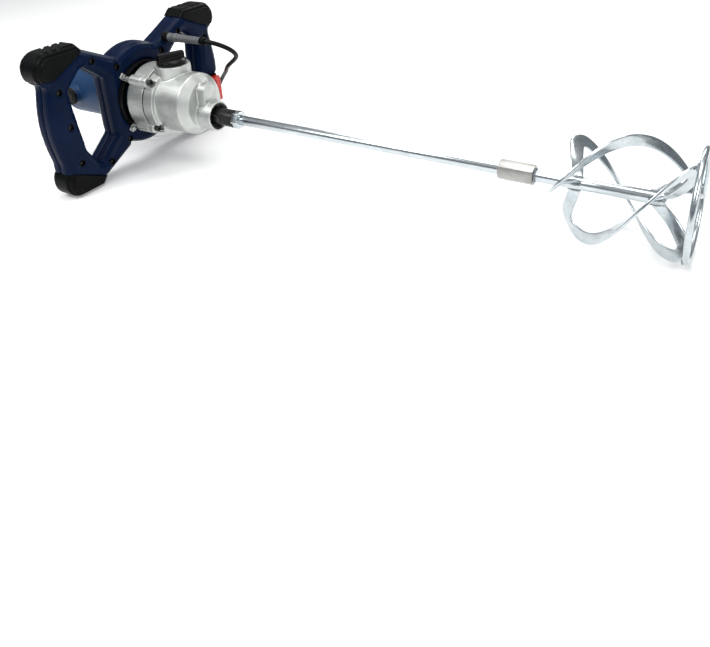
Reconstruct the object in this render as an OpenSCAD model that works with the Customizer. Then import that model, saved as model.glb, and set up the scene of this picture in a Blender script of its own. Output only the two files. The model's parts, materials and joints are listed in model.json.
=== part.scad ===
// Electric hand-held mortar mixer with its extension rod and mixing paddle.
// Everything is drawn along the spindle axis first (x forward to the paddle, z to the
// gear selector, y to the switch handle) and place() then lays the machine on the floor,
// where it rests on its two lower corner caps and on the ring of the paddle.

/* [Frame] */
// Depth of the handle frame along the spindle
frame_depth = 42; // [40:1:46]
// Distance of the frame's front face behind the nose of the gearbox
frame_back = 141; // [141:1:143]
// Outer radius of the ring round the motor
ring_outer = 77; // [76:1:80]
// Height of the motor and frame axis above the spindle axis
axis_rise = 14; // [14:0.1:14.2]

/* [Paddle] */
// Length of extension rod seen between the lock nut and the paddle coupling
rod_visible = 382; // [300:2:460]
// Diameter of the extension rod
rod_d = 14; // [13.6:0.1:14]
// Outer diameter of the paddle ring
paddle_d = 126; // [110:2:140]
// Diameter of the round bar of the paddle ring
ring_bar = 6.5; // [6:0.5:8]
// Width of the flat bar of the blades
blade_w = 13; // [10:0.5:14]
// Thickness of the flat bar of the blades
blade_t = 3; // [2.5:0.5:4]
// Turn of each blade between the shaft and the ring, in degrees
blade_turn = 160; // [120:5:200]

/* [Cord] */
// Diameter of the mains cord
cord_d = 7; // [6:0.5:8]

/* [Hidden] */

$fn = 96;
small_fn = 48;
eps = 0.01;

navy = "#1d3a66";
rubber = "#232523";
cast_alu = "#b8b6ac";
zinc = "#b9c7cb";
dark_steel = "#2b2a2a";
steel = "#9a9c9e";
red = "#d41c12";
copper = "#a8632c";

// Frame
frame_x1 = -frame_back;
frame_x0 = frame_x1 - frame_depth;
frame_xm = (frame_x0 + frame_x1) / 2;
ring_bore = 54;
ring_side = 64;
ring_rise = 3;
cap_top = 107;
cap_reach = 174;
low_cap_reach = 164;
cap_corner_r = 24;
edge_steps = [[3, 8], [8, 3]]; // [inset of the outline, distance from the face]
cap_skin = 5;

// Gear train: stage 1 is motor to layshaft, stage 2 is layshaft to spindle
z1 = 9;
z2 = 41;
m1 = 0.8;
z3 = 14;
z4 = 54;
m2 = 1;
lay_z = m2 * (z3 + z4) / 2;
motor_z = lay_z - m1 * (z1 + z2) / 2;
backlash = 0.16;

// Nose, spindle and rod
nose_r = 21.5;
spindle_r = 12.5;
spindle_front = 29.5;
nut_len = 11;
hex_af = 22;
rod_r = rod_d / 2;
rod_start = 8;
rod_x0 = spindle_front + nut_len;
coupling_x = rod_x0 + rod_visible;
coupling_len = 41;
shaft_r = 7.25;
shaft_x = coupling_x + coupling_len;
ring_x = coupling_x + 211;
shaft_end = ring_x - 30;
ring_r = (paddle_d - ring_bar) / 2;

// Laying the machine down
foot_cut = 0.6;
cap_edge_x = frame_x1 - edge_steps[0][1];
cap_edge_z = axis_rise - cap_top;
lay_dx = ring_x - cap_edge_x;
lay_dz = -ring_r - cap_edge_z;
lay_tilt = acos((ring_bar / 2 + foot_cut) / norm([lay_dx, lay_dz])) - atan2(lay_dx, lay_dz);
floor_h = -ring_x * sin(lay_tilt) - ring_r * cos(lay_tilt) - ring_bar / 2;
cover_end_x = -298;
cover_end_r = 36;
front_reach = ring_x * cos(lay_tilt) + ring_r * sin(lay_tilt) + ring_bar / 2;
rear_reach = cover_end_x * cos(lay_tilt) + (axis_rise - cover_end_r) * sin(lay_tilt);
mid_x = (front_reach + rear_reach) / 2;

// Cord
boot_y = 54;
boot_z = axis_rise + 76;
boot_tip = -58;
cord_r = cord_d / 2;
coil_mid = 12 * cord_d;
coil_at = [-248, 130];
coil_w = 3 * cord_d;
coil_h = 2 * cord_d;

module place() {
    translate([-mid_x, 0, -floor_h]) rotate([0, lay_tilt, 0]) children();
}

// A tube or rod along x from x0 to x1
module bar_x(x0, x1, ro, ri = 0, y = 0, z = 0) {
    translate([x0, y, z]) rotate([0, 90, 0]) difference() {
        cylinder(h = x1 - x0, r = ro);
        if (ri > 0) translate([0, 0, -1]) cylinder(h = x1 - x0 + 2, r = ri);
    }
}

module cone_x(x0, x1, r0, r1, z = 0, y = 0) {
    translate([x0, y, z]) rotate([0, 90, 0]) cylinder(h = x1 - x0, r1 = r0, r2 = r1);
}

// An outline drawn in (y, z) becomes a plate from x0 to x1
module plate_x(x0, x1, z = 0) {
    translate([x0, 0, z]) rotate([90, 0, 90]) linear_extrude(x1 - x0) children();
}

module box(x0, x1, y0, y1, z0, z1) {
    translate([x0, y0, z0]) cube([x1 - x0, y1 - y0, z1 - z0]);
}

module both_sides() {
    children();
    mirror([0, 1, 0]) children();
}

module hexagon(af) {
    circle(d = af / cos(30), $fn = 6);
}

// ---------- handle frame ----------

function grip_out(z) = 158 + 9 * cos(z * 1.5);
function grip_in(z) = 124 + 0.12 * z;

// One side of the frame above (s = 1) or below (s = -1) its middle
module quarter_outline(s, reach) {
    grip_steps = [0 : 5.5 : 55];
    scale([1, s]) {
        polygon(concat(
            [for (z = grip_steps) [grip_out(z), z]],
            [[160, 69], [reach, cap_top - cap_corner_r], [reach - cap_corner_r, cap_top], [104, cap_top],
             [94, 96], [42, 70], [30, 40], [58, 30], [ring_side, 44], [97, 71], [104, 69]],
            [for (i = [8 : -1 : 0]) [grip_in(s * i * 5.75), i * 5.75]]));
        translate([reach - cap_corner_r, cap_top - cap_corner_r]) circle(r = cap_corner_r);
    }
}

module frame_outline() {
    translate([0, ring_rise]) intersection() {
        circle(r = ring_outer);
        square([2 * ring_side, 4 * ring_outer], center = true);
    }
    for (sy = [0, 1]) mirror([sy, 0]) {
        quarter_outline(1, cap_reach);
        quarter_outline(-1, low_cap_reach);
    }
}

// The corner that the rubber covers, in the +y +z quarter
module cap_zone() {
    polygon([[94, 96], [151, 69], [200, 69], [200, 140], [60, 140], [93, 97]]);
}

module all_cap_zones() {
    for (sy = [0, 1], sz = [0, 1]) mirror([sy, 0]) mirror([0, sz]) cap_zone();
}

// The frame's full depth, with its edges stepped in towards the two faces
module frame_blank() {
    difference() {
        union() {
            plate_x(frame_x0 + edge_steps[0][1], frame_x1 - edge_steps[0][1], axis_rise) frame_outline();
            for (s = edge_steps)
                plate_x(frame_x0 + s[1] - (s[1] > 3 ? 5 : 3), frame_x1 - s[1] + (s[1] > 3 ? 5 : 3), axis_rise)
                    offset(delta = -s[0]) frame_outline();
        }
        bar_x(frame_x0 - 1, frame_x1 + 1, ring_bore, z = axis_rise);
    }
}

module frame_core() {
    plate_x(frame_x0 + cap_skin, frame_x1 - cap_skin, axis_rise)
        intersection() {
            offset(delta = -cap_skin) frame_outline();
            all_cap_zones();
        }
}

module frame_body() {
    difference() {
        frame_blank();
        plate_x(frame_x0 - 1, frame_x1 + 1, axis_rise) all_cap_zones();
    }
    frame_core();
}

// [y, z] of the screws that hold the two halves together
arm_screws = [for (sy = [-1, 1], sz = [-1, 1], p = [[85, 77], [45, 56]]) [sy * p[0], sz * p[1]]];
grip_screws = [[-136, -58], [-141, -2], [-147, 50], [142, 52]];
frame_screw_at = concat(arm_screws, grip_screws);
screw_head_r = 4;
screw_recess = 9;

module at_frame_screws() {
    for (p = frame_screw_at) translate([0, p[0], axis_rise + p[1]]) children();
}

sw_z0 = -66;
sw_z1 = -14;

module switch_window() {
    box(frame_xm, frame_x1 + 1, 87, 180, axis_rise + sw_z0 - 0.2, axis_rise + sw_z1 + 0.2);
}

// Wiring channel inside both grips
module grip_pockets(x0, x1) {
    both_sides() box(x0, x1, 129, 154, axis_rise - 48, axis_rise + 44);
}

module frame_front() {
    color(navy) place() difference() {
        intersection() {
            frame_body();
            box(frame_xm, frame_x1 + 1, -200, 200, -200, 200);
        }
        at_frame_screws() bar_x(frame_x1 - screw_recess, frame_x1 + 1, screw_head_r + 0.5, $fn = small_fn);
        at_frame_screws() bar_x(frame_x0, frame_x1, 2.1, $fn = small_fn);
        difference() {
            grip_pockets(frame_xm - 1, frame_x1 - 6);
            at_frame_screws() bar_x(frame_x0, frame_x1, 6, $fn = small_fn);
        }
        switch_window();
        translate([frame_x1 - 6, 8, axis_rise - 64]) rotate([0, 90, 0]) cylinder(h = 8, r = 8, $fn = small_fn);
    }
}

module frame_rear() {
    color(navy) place() difference() {
        intersection() {
            frame_body();
            box(frame_x0 - 1, frame_xm, -200, 200, -200, 200);
        }
        at_frame_screws() bar_x(frame_x0 + 7, frame_x1, 2.1, $fn = small_fn);
        difference() {
            grip_pockets(frame_x0 + 6, frame_xm + 1);
            at_frame_screws() bar_x(frame_x0, frame_x1, 6, $fn = small_fn);
        }
    }
}

module frame_screws() {
    color(dark_steel) place() at_frame_screws() difference() {
        union() {
            bar_x(frame_x1 - screw_recess, frame_x1 - screw_recess + 3, screw_head_r, $fn = small_fn);
            bar_x(frame_x0 + 8, frame_x1 - screw_recess, 2, $fn = small_fn);
        }
        translate([frame_x1 - screw_recess + 1.5, 0, 0]) rotate([90, 0, 90]) linear_extrude(3)
            for (a = [0, 90]) rotate(a) square([5, 1.2], center = true);
    }
}

// One rubber corner: its outer face carries three slanted grooves
module corner_cap(sy, sz) {
    groove_w = 3;
    groove_deep = 2.2;
    difference() {
        intersection() {
            frame_blank();
            plate_x(frame_x0 - 1, frame_x1 + 1, axis_rise)
                mirror([sy < 0 ? 1 : 0, 0]) mirror([0, sz < 0 ? 1 : 0]) cap_zone();
        }
        frame_core();
        for (i = [0 : 2])
            translate([frame_xm, sy * (118 + 13 * i), axis_rise + sz * cap_top])
                rotate([0, 0, sy * sz * 38])
                    cube([60, groove_w, 2 * groove_deep], center = true);
        if (sz < 0) floor_cut();
    }
}

// What the floor takes off the lower caps, so that they stand on true flats
module floor_cut() {
    rotate([0, -lay_tilt, 0]) translate([-400, -300, floor_h - 20]) cube([600, 600, 20]);
}

module corner_cap_switch_top() { color(rubber) place() corner_cap(1, 1); }
module corner_cap_switch_bottom() { color(rubber) place() corner_cap(1, -1); }
module corner_cap_plain_top() { color(rubber) place() corner_cap(-1, 1); }
module corner_cap_plain_bottom() { color(rubber) place() corner_cap(-1, -1); }

// ---------- motor ----------

plate_back = -127;
housing_r = 44;
housing_wall = 3;
housing_end = -268;
brush_x = -249;
brush_reach = 52;
shaft_motor_r = 4;
core_x = [-212, -158];

module brush_boss(r, y0, y1) {
    both_sides() translate([brush_x, y0, motor_z]) rotate([-90, 0, 0]) cylinder(h = y1 - y0, r = r, $fn = small_fn);
}

module motor_housing() {
    color(navy) place() difference() {
        union() {
            bar_x(housing_end, plate_back, housing_r, z = axis_rise);
            brush_boss(13.5, 38, brush_reach);
        }
        bar_x(housing_end - 1, -143, housing_r - housing_wall, z = axis_rise);
        bar_x(-150, plate_back - 3, 40, z = axis_rise);
        bar_x(-150, plate_back + 1, 12, z = axis_rise);
        brush_boss(8, 30, 60);
    }
}

module motor_end_cover() {
    color(navy) place() difference() {
        union() {
            bar_x(-276, housing_end, housing_r, z = axis_rise);
            cone_x(cover_end_x, -276, cover_end_r, housing_r, z = axis_rise);
        }
        bar_x(-277, housing_end + 1, housing_r - housing_wall, z = axis_rise);
        cone_x(cover_end_x + 4, -276.9, cover_end_r - 4, housing_r - housing_wall, z = axis_rise);
        for (i = [-2 : 2], s = [-1, 1])
            box(cover_end_x - 1, cover_end_x + 5, s > 0 ? 14 : -28, s > 0 ? 28 : -14,
                axis_rise + i * 7 - 1.5, axis_rise + i * 7 + 1.5);
    }
    color(navy) place() difference() {
        bar_x(cover_end_x + 4, -279, 12, z = axis_rise);
        bar_x(-286, -278, 9.5, z = motor_z);
        bar_x(-290, -278, 6, z = motor_z);
    }
}

// Black ring that closes the gap between the motor and the ring of the frame, with cooling slots
module ring_liner() {
    color(rubber) place() difference() {
        bar_x(frame_x1 - 24, frame_x1 + 5, ring_bore - 0.3, housing_r + 0.3, z = axis_rise);
        bar_x(frame_x1 - 3, frame_x1 + 6, ring_bore - 3.3, housing_r + 2.6, z = axis_rise);
        at_ears() box(frame_x1 - 3, frame_x1 + 6, -5.5, 5.5, 44, 60);
        for (a = [0 : 15 : 345]) translate([0, 0, axis_rise]) rotate([a, 0, 0])
            box(frame_x1 - 25, frame_x1 + 6, -1.6, 1.6, housing_r + 3, ring_bore - 3.3);
    }
}

module stator() {
    color(steel) place() difference() {
        bar_x(core_x[0], core_x[1], housing_r - housing_wall, 26, z = motor_z);
        for (s = [-1, 1]) box(core_x[0] - 1, core_x[1] + 1, s > 0 ? 35 : -50, s > 0 ? 50 : -35, motor_z - 8, motor_z + 8);
    }
}

module armature() {
    color(copper) place() {
        bar_x(core_x[0], core_x[1], 25, shaft_motor_r, z = motor_z);
        bar_x(-289, -107, shaft_motor_r, z = motor_z);
    }
}

module commutator() {
    color(copper) place() bar_x(-261, -239, 14, shaft_motor_r, z = motor_z);
}

module cooling_fan() {
    blades = 16;
    color(rubber) place() {
        bar_x(-148, -134, 9, shaft_motor_r, z = motor_z);
        bar_x(-148, -145, 38, 9 - eps, z = motor_z);
        plate_x(-145, -136, motor_z) for (i = [0 : blades - 1]) rotate(i * 360 / blades)
            translate([9 - eps, -1]) square([29, 2]);
    }
}

module motor_bearing_front() {
    color(steel) place() bar_x(plate_back, plate_back + 7, 11, shaft_motor_r + 0.03, z = motor_z);
}

module motor_bearing_rear() {
    color(steel) place() bar_x(-286, -279, 9.5, shaft_motor_r + 0.03, z = motor_z);
}

module brush_caps() {
    color(rubber) place() both_sides() translate([brush_x, brush_reach, motor_z]) rotate([-90, 0, 0]) difference() {
        cylinder(h = 5, r = 14, $fn = small_fn);
        translate([0, 0, 3]) difference() {
            cylinder(h = 3, r = 12, $fn = small_fn);
            for (a = [0 : 30 : 150]) rotate(a) translate([-15, -0.8, -1]) cube([30, 1.6, 5]);
        }
    }
}

module brush_holders() {
    color("#8a7440") place() both_sides() translate([brush_x, 17, motor_z]) rotate([-90, 0, 0]) difference() {
        cylinder(h = brush_reach - 17, r = 7.9, $fn = small_fn);
        translate([-3.6, -3.6, -1]) cube([7.2, 7.2, 43]);
    }
}

module carbon_brushes() {
    color("#3a3a3c") place() both_sides() box(brush_x - 3.5, brush_x + 3.5, 14.3, 32, motor_z - 3.5, motor_z + 3.5);
}

// ---------- gears ----------

function inv(a) = tan(a) - a * PI / 180;
function half_angle(r, teeth, m, q) =
    let (rp = m * teeth / 2, rb = rp * cos(20), half_p = (PI * m / 2 - q) / (2 * rp) * 180 / PI)
    half_p + (inv(20) - (r > rb ? inv(acos(rb / r)) : 0)) * 180 / PI;

module spur_gear(teeth, m, add, bore = 0) {
    rp = m * teeth / 2;
    tip = rp + add;
    root = rp - 1.25 * m;
    radii = [root, max(root + 0.05, rp * cos(20)), (rp * cos(20) + tip) / 2, tip];
    difference() {
        polygon([for (k = [0 : teeth - 1], i = [0 : 7])
            let (r = radii[i < 4 ? i : 7 - i], s = i < 4 ? -1 : 1,
                 a = k * 360 / teeth + s * half_angle(r, teeth, m, backlash))
            [r * cos(a), r * sin(a)]]);
        if (bore > 0) circle(r = bore, $fn = small_fn);
    }
}

gear1_x = [-106, -100];
gear2_x = [-60, -44];

module motor_pinion() {
    color(steel) place() plate_x(-107, -99, motor_z) rotate(90) spur_gear(z1, m1, 0.75);
}

module layshaft_gear() {
    color(steel) place() plate_x(gear1_x[0], gear1_x[1], lay_z) rotate(270 + 180 / z2) difference() {
        spur_gear(z2, m1, 0.4, 5);
        for (a = [0 : 60 : 300]) rotate(a) translate([10.5, 0]) circle(r = 2.5, $fn = small_fn);
    }
}

module layshaft() {
    color(steel) place() {
        bar_x(-108, gear2_x[0] - 2, 5, z = lay_z);
        plate_x(gear2_x[0] - 2, gear2_x[1] + 2, lay_z) rotate(270) spur_gear(z3, m2, 0.9);
        bar_x(gear2_x[1] + 2, -29, 3.97, z = lay_z);
        bar_x(-123, -108, 3.97, z = lay_z);
    }
}

module layshaft_bushes() {
    color("#b08a45") place() {
        bar_x(-34, -28, 8, 4, z = lay_z);
        bar_x(-124, -118, 8, 4, z = lay_z);
    }
}

module spindle_gear() {
    color(steel) place() plate_x(gear2_x[0], gear2_x[1]) rotate(90 + 180 / z4) difference() {
        spur_gear(z4, m2, 0.6, 9);
        for (a = [0 : 60 : 300]) rotate(a) translate([18, 0]) circle(r = 4, $fn = small_fn);
    }
}

module spindle() {
    color(dark_steel) place() difference() {
        union() {
            bar_x(-4.2, spindle_front - 1, spindle_r);
            cone_x(spindle_front - 1, spindle_front, spindle_r, spindle_r - 1);
            bar_x(-42, -4.2, 8.47);
            bar_x(-98, -42, 9);
            bar_x(-117, -98, 4.97);
        }
        bar_x(rod_start - 2, spindle_front + 1, rod_r + 0.05);
        for (s = [-1, 1]) box(10, spindle_front + 1, s > 0 ? hex_af / 2 : -20, s > 0 ? 20 : -hex_af / 2, -20, 20);
    }
}

// ---------- gearbox ----------

case_r = 45;
case_wall = 2.7;
plate_front = -97;
flange_r = 51;
lug_y = 40;
lug_z = 35;
lug_mid = axis_rise + 3;
lug_x = -88;
flange_x = -79;
ear_r = 57;

module at_lugs() {
    for (sy = [-1, 1], sz = [-1, 1]) translate([0, sy * lug_y, lug_mid + sz * lug_z]) children();
}

module at_ears() {
    for (a = [45 : 90 : 315]) translate([0, 0, axis_rise]) rotate([a, 0, 0]) children();
}

module knob_boss(r, z0, z1) {
    translate([-78, 0, z0]) cylinder(h = z1 - z0, r = r);
}

module gearbox_housing() {
    color(cast_alu) place() difference() {
        union() {
            bar_x(flange_x, -36, case_r, z = axis_rise);
            cone_x(-36, -25, case_r, 34, z = axis_rise);
            bar_x(-36, 0, nose_r);
            difference() {
                bar_x(plate_front, flange_x, flange_r, z = axis_rise);
                at_lugs() bar_x(lug_x, flange_x + 1, 6.5, $fn = small_fn);
            }
            at_lugs() bar_x(plate_front, lug_x, 8, $fn = small_fn);
            bar_x(-36, -12, 13, z = lay_z + 1);
            box(-36, -12, -13, 13, 5, lay_z + 1);
            difference() {
                knob_boss(26, axis_rise, 70);
                box(plate_front - 20, plate_front, -30, 30, axis_rise - 1, 71);
            }
        }
        bar_x(plate_front - 1, -40, case_r - case_wall, z = axis_rise);
        bar_x(-41, -28, 8, z = lay_z);
        bar_x(-41, 1, 9.2);
        bar_x(-16, 1, 17.5);
        bar_x(-6, 1, 19);
        knob_boss(6, axis_rise, 71);
        knob_boss(22, axis_rise, 52);
        at_lugs() bar_x(plate_front - 1, lug_x + 1, 2.5, $fn = small_fn);
    }
}

module gearbox_plate() {
    color(cast_alu) place() difference() {
        union() {
            bar_x(plate_back, plate_front, 52, z = axis_rise);
            at_lugs() bar_x(plate_back + 6, plate_front, 8, $fn = small_fn);
            at_ears() {
                box(frame_x1, plate_back + 3, -4.5, 4.5, 48, 51);
                box(frame_x1, frame_x1 + 3, -4.5, 4.5, 48, ear_r + 5);
            }
        }
        bar_x(-117, plate_front + 1, 45, z = axis_rise);
        bar_x(plate_back - 1, plate_back + 7, 11, z = motor_z);
        bar_x(plate_back, -110, 5.2, z = motor_z);
        bar_x(-124, -110, 8, z = lay_z);
        at_lugs() bar_x(plate_back + 10, plate_front + 1, 2.1, $fn = small_fn);
        at_ears() bar_x(frame_x1 - 1, frame_x1 + 4, 2.3, z = ear_r, $fn = small_fn);
    }
    color(cast_alu) place() bar_x(-117, -109, 9.2, 7.5);
}

module gearbox_screws() {
    color(dark_steel) place() at_lugs() difference() {
        union() {
            bar_x(lug_x, lug_x + 4.5, 4.4, $fn = small_fn);
            bar_x(lug_x - 22, lug_x, 2, $fn = small_fn);
        }
        translate([lug_x + 2, 0, 0]) rotate([0, 90, 0]) cylinder(h = 4, d = 4 / cos(30), $fn = 6);
    }
}

module plate_screws() {
    color(steel) place() at_ears() bar_x(frame_x1 + 3, frame_x1 + 5.5, 4, z = ear_r, $fn = small_fn);
}

module spindle_bearing() {
    color(steel) place() bar_x(-16, -6, 17.5, 8.5);
}

module spindle_bush() {
    color("#b08a45") place() bar_x(-117, -109, 7.5, 5);
}

module nose_circlip() {
    color(dark_steel) place() difference() {
        union() {
            bar_x(-5.9, -4.5, 19, 16.6);
            for (s = [-1, 1]) bar_x(-5.9, -4.5, 2, y = s * 4.4, z = 15.2, $fn = small_fn);
        }
        box(-7, -3, -3, 3, 10, 22);
        for (s = [-1, 1]) bar_x(-7, -3, 0.8, y = s * 4.8, z = 15, $fn = small_fn);
    }
}

module nose_seal() {
    color(steel) place() bar_x(-5.9, -4.8, 13.4, 9.2);
}

module selector_shaft() {
    color(steel) place() {
        translate([-78, 0, 47]) cylinder(h = 3, r = 12, $fn = small_fn);
        translate([-78, 0, 50]) cylinder(h = 26, r = 5.95, $fn = small_fn);
    }
}

module selector_knob() {
    color(rubber) place() translate([-78, 0, 70.3]) difference() {
        union() {
            cylinder(h = 5, r = 21.5);
            translate([0, 0, 5]) cylinder(h = 3, r1 = 21.5, r2 = 17);
            rotate(62) translate([-19, -5, 4]) cube([38, 10, 12]);
        }
        translate([0, 0, -1]) cylinder(h = 6.7, r = 5.95, $fn = small_fn);
    }
}

// ---------- switch ----------

trig_y = [140.6, 155.4];
trig_z = [-60, -17];
trig_pin_x = frame_x1 - 6;
trig_pin_z = -55;
button_y = 105;
button_z = -25;

module switch_body() {
    color(rubber) place() difference() {
        union() {
            box(frame_xm, frame_x1, 88, 157.5, axis_rise + sw_z0, axis_rise + sw_z1);
            box(frame_xm - 12, frame_xm, 96, 115, axis_rise + sw_z0 + 15, axis_rise + sw_z1 - 6);
        }
        box(frame_x1 - 11, frame_x1 + 1, trig_y[0] - 0.4, trig_y[1] + 0.4,
            axis_rise + trig_z[0] - 2, axis_rise + trig_z[1] + 2);
        translate([trig_pin_x, 130, axis_rise + trig_pin_z]) rotate([-90, 0, 0]) cylinder(h = 40, r = 2, $fn = small_fn);
        bar_x(frame_x1 - 12, frame_x1 + 1, 6.6, y = button_y, z = axis_rise + button_z, $fn = small_fn);
        translate([0, 88, axis_rise + sw_z0]) rotate([45, 0, 0]) cube([200, 20, 20], center = true);
    }
}

module trigger() {
    color(red) place() difference() {
        union() {
            box(frame_x1 - 1.5, frame_x1 + 9, trig_y[0], trig_y[1], axis_rise + trig_z[0], axis_rise + trig_z[1]);
            box(frame_x1 + 8.9, frame_x1 + 12, trig_y[0] + 2, trig_y[1] - 2,
                axis_rise + trig_z[0] + 3, axis_rise + trig_z[1] - 3);
            box(frame_x1 - 10, frame_x1 - 1.4, trig_y[0], trig_y[1],
                axis_rise + trig_pin_z - 4, axis_rise + trig_pin_z + 4);
        }
        translate([trig_pin_x, 130, axis_rise + trig_pin_z]) rotate([-90, 0, 0]) cylinder(h = 40, r = 2.05, $fn = small_fn);
    }
}

module trigger_pin() {
    color(steel) place() translate([trig_pin_x, 131, axis_rise + trig_pin_z])
        rotate([-90, 0, 0]) cylinder(h = 26, r = 2, $fn = small_fn);
}

module lock_button() {
    color(red) place() {
        bar_x(frame_x1 - 7, frame_x1 + 3.5, 6.3, y = button_y, z = axis_rise + button_z, $fn = small_fn);
        cone_x(frame_x1 + 3.5, frame_x1 + 5, 6.3, 5, y = button_y, z = axis_rise + button_z, $fn = small_fn);
    }
}

// ---------- rod and paddle ----------

module jam_nut() {
    color(zinc) place() difference() {
        intersection() {
            plate_x(spindle_front, rod_x0) hexagon(hex_af);
            union() {
                cone_x(spindle_front, spindle_front + 1, 11.6, 13);
                bar_x(spindle_front + 1, rod_x0 - 1, 13);
                cone_x(rod_x0 - 1, rod_x0, 13, 11.6);
            }
        }
        bar_x(spindle_front - 1, rod_x0 + 1, rod_r + 0.05);
    }
}

module extension_rod() {
    color(zinc) place() difference() {
        bar_x(rod_start, coupling_x + 22, rod_r);
        translate([coupling_x - 16, 0, rod_r + 0.6]) sphere(r = 1.8, $fn = 32);
    }
}

module paddle_coupling() {
    color(zinc) place() difference() {
        intersection() {
            plate_x(coupling_x, shaft_x) rotate(24) hexagon(hex_af);
            union() {
                cone_x(coupling_x, coupling_x + 1.2, 11.4, 13);
                bar_x(coupling_x + 1.2, shaft_x - 1.2, 13);
                cone_x(shaft_x - 1.2, shaft_x, 13, 11.4);
            }
        }
        bar_x(coupling_x - 1, coupling_x + 24, rod_r + 0.05);
    }
}

module paddle_shaft() {
    color(zinc) place() bar_x(shaft_x, shaft_end, shaft_r);
}

// A blade is a flat bar bent into a C in a plane through the axis, then twisted round
// the axis. Its centre line in that plane is a row of [radius, x]
blade_mid = ring_r + ring_bar / 2 - 1 - blade_w / 2;
blade_x0 = shaft_x + 46;
blade_x1 = ring_x - 3;
corner_r = 10;
blade_swell = 2;
leg_in = shaft_r - 0.4;
blade_line = concat(
    [[leg_in, blade_x0], [20, blade_x0 - 3.5], [33, blade_x0 - 7]],
    [for (a = [0 : 18 : 90]) [blade_mid - corner_r + corner_r * sin(a), blade_x0 - 9.5 + corner_r * (1 - cos(a))]],
    [for (i = [1 : 11])
        [blade_mid + blade_swell * sin(16 * i), blade_x0 + i * (blade_x1 - 12 - blade_x0) / 11]],
    [for (a = [20 : 20 : 120]) [blade_mid - corner_r + corner_r * cos(a), blade_x1 - 12 + corner_r * sin(a)]],
    [[24, blade_x1 - 16], [leg_in, shaft_end - 9]]);

// Direction along the line at point i
function line_dir(p, i) =
    let (d = p[min(i + 1, len(p) - 1)] - p[max(i - 1, 0)]) d / norm(d);

// A point at radius r and place x on the blade's twisted surface, lifted by h along its normal
function twisted(r, x, h, a0) =
    let (k = blade_turn / (blade_x1 - blade_x0), a = a0 - k * (x - blade_x0), kr = -k * PI / 180 * r,
         n = [kr, sin(a), -cos(a)] / sqrt(1 + kr * kr))
    [x, r * cos(a), r * sin(a)] + h * n;

function blade_ring(i, a0) =
    let (p = blade_line[i], d = line_dir(blade_line, i), s = [-d[1], d[0]])
    [for (c = [[-1, -1], [1, -1], [1, 1], [-1, 1]])
        let (q = p + c[0] * blade_w / 2 * s) twisted(q[0], q[1], c[1] * blade_t / 2, a0)];

module swept(rings) {
    n = len(rings[0]);
    m = len(rings);
    sides = [for (i = [0 : m - 2], j = [0 : n - 1])
        let (a = i * n + j, b = i * n + (j + 1) % n) each [[a, b, a + n], [b, b + n, a + n]]];
    ends = [[for (j = [n - 1 : -1 : 0]) j], [for (j = [0 : n - 1]) (m - 1) * n + j]];
    polyhedron([for (r = rings) each r], concat(sides, ends));
}

module blade(a0) {
    difference() {
        swept([for (i = [0 : len(blade_line) - 1]) blade_ring(i, a0)]);
        bar_x(shaft_x, shaft_end + 20, shaft_r);
        paddle_ring_solid();
    }
}

module paddle_ring_solid() {
    translate([ring_x, 0, 0]) rotate([0, 90, 0]) rotate_extrude() translate([ring_r, 0])
        circle(d = ring_bar, $fn = 32);
}

blade_first = 150;
module blade_1() { color(zinc) place() blade(blade_first); }
module blade_2() { color(zinc) place() blade(blade_first - 120); }
module blade_3() { color(zinc) place() blade(blade_first - 240); }
module paddle_ring() { color(zinc) place() paddle_ring_solid(); }

// ---------- cord ----------

module cord_boot() {
    color(rubber) place() {
        bar_x(frame_x1, frame_x1 + 7, 8, y = boot_y, z = boot_z);
        cone_x(frame_x1 + 7, boot_tip, 6.5, 5, y = boot_y, z = boot_z);
    }
}

// The cord leaves the boot, loops forward, passes outside the switch handle and comes
// down behind it to the coil on the floor
cord_air = [[-58, 54, 90], [-46.4, 55.9, 88.6], [-35.8, 62.1, 84], [-29.1, 72.7, 75.7], [-31.4, 87.5, 63.1],
            [-45, 99.6, 51.7], [-61.2, 110.8, 42], [-78, 122, 32], [-95, 135, 21], [-111, 149, 9],
            [-127, 162, -2], [-142, 173, -13], [-155.9, 181, -25.9], [-168.1, 186, -40],
            [-180.2, 189, -55], [-192.2, 190.3, -70.6]];
cord_floor = [[-208.2, 189.8, 10.1], [-226.7, 186.6, 4], [-240, 182, 3.5]];

function lay(p) = [p[0] * cos(lay_tilt) + p[2] * sin(lay_tilt) - mid_x, p[1],
                   p[2] * cos(lay_tilt) - p[0] * sin(lay_tilt) - floor_h];
cord_line = concat([for (p = cord_air) lay([p[0], p[1], p[2] + (p == cord_air[0] ? boot_z - 90 : 0)])],
                   [for (p = cord_floor) [p[0] - mid_x, p[1], p[2] + cord_r - 3.5]]);

function unit(v) = v / norm(v);

// A ring of eight points round the line at point i
function cord_ring(p, i) =
    let (d = line_dir(p, i), u = unit(cross(d, [0, 0.6, -0.8])), v = cross(d, u))
    [for (a = [0 : 45 : 315]) p[i] + cord_r * (cos(a) * u + sin(a) * v)];

module cord_run() {
    color(rubber) swept([for (i = [0 : len(cord_line) - 1]) cord_ring(cord_line, i)]);
}

module cord_coil() {
    color(rubber) translate([coil_at[0] - mid_x, coil_at[1], 0]) rotate_extrude()
        translate([(coil_mid - coil_w) / 2, 0]) square([coil_w, coil_h]);
}

plug_r = 17;
plug_z = coil_h + plug_r;

module at_plug() {
    translate([coil_at[0] - mid_x, coil_at[1], plug_z]) rotate([0, 0, 180]) children();
}

module plug_body() {
    color(rubber) at_plug() {
        bar_x(-4, 30, plug_r);
        cone_x(-22, -4, 5, 11);
    }
}

module plug_pins() {
    color(zinc) at_plug() for (s = [-1, 1]) bar_x(30, 49, 2.4, y = s * 9.5, $fn = small_fn);
}

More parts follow.
